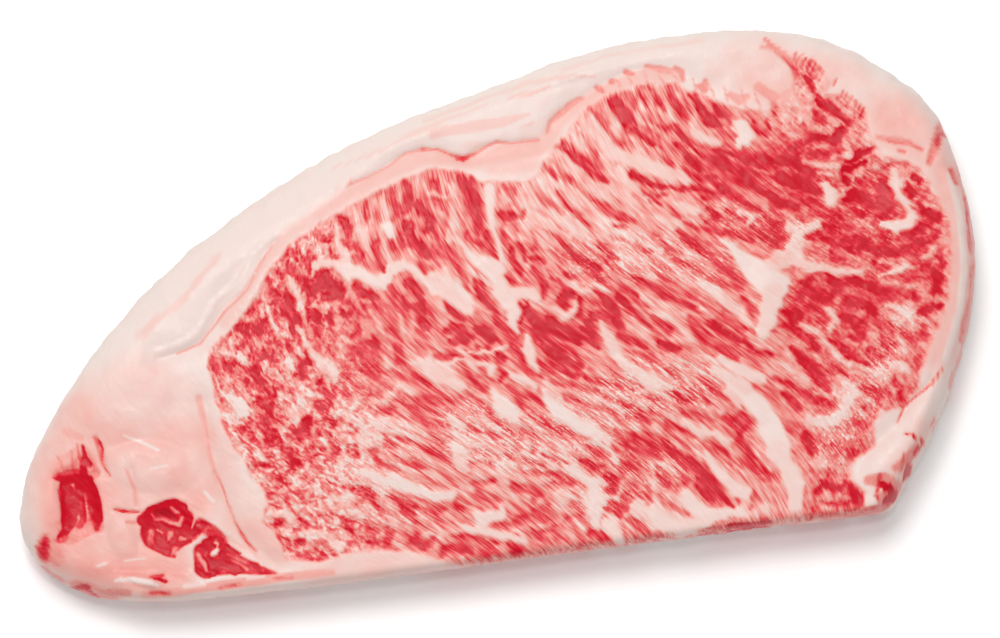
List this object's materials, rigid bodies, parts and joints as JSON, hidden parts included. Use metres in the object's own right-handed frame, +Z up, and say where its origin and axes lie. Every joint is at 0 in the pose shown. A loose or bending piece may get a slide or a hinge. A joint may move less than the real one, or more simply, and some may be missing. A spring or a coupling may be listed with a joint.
{
  "type": "raw ribeye steak",
  "caption": "Raw, heavily marbled ribeye steak: a thick slice of beef with a rounded fat cap, a straight trimmed edge and a tapering tail, lying flat.",
  "frame": {"origin": "on the resting face, below the middle of the steak's box", "axes": "+X along the straight trimmed edge towards the thick end, +Y towards the fat cap, +Z up out of the shown cut face"},
  "size_m": [0.2453, 0.1285, 0.0238],
  "materials": {
    "meat": "moist raw beef, marbled red lean in pinkish-white fat, low gloss"
  },
  "bodies": {
    "root": {"steak": "meat"}
  },
  "joints": []
}
